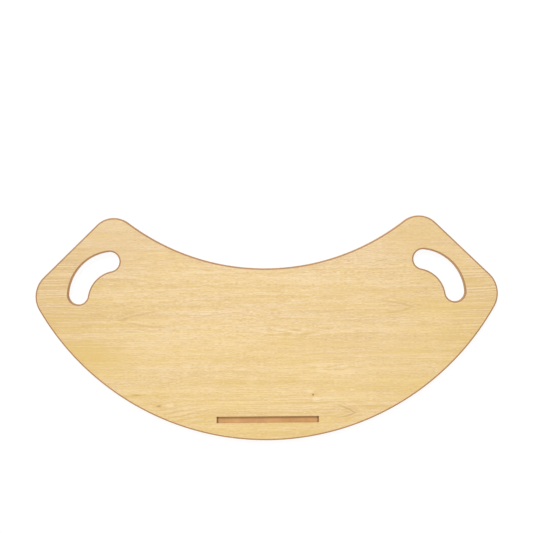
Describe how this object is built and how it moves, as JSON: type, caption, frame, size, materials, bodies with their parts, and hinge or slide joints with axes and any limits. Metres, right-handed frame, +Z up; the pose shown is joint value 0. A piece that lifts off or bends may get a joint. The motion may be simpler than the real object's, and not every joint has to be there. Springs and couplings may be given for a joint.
{
  "type": "lap desk",
  "caption": "Crescent lap desk of oak-faced fibreboard that lies across chair arms, with bean-shaped hand holes, a tablet groove and rubber pads underneath.",
  "frame": {"origin": "on the surface that the pads stand on, under the middle of the board's box", "axes": "+X along the board's long side, +Y towards the sitter and the hollow edge, +Z up out of the working face"},
  "size_m": [0.882, 0.4265, 0.0153],
  "materials": {
    "fibreboard": "routed and sealed brown fibreboard edge, dull satin",
    "oak_laminate": "pale oak-grain laminate, satin",
    "balancing_laminate": "pale oak-grain balancing laminate, dull satin",
    "pad_rubber": "matt black moulded rubber"
  },
  "bodies": {
    "root": {"core_board": "fibreboard", "top_laminate": "oak_laminate", "bottom_laminate": "balancing_laminate", "front_pad_left": "pad_rubber", "front_pad_right": "pad_rubber", "arm_pad_left": "pad_rubber", "arm_pad_right": "pad_rubber", "ear_pad_left": "pad_rubber", "ear_pad_right": "pad_rubber"}
  },
  "joints": []
}
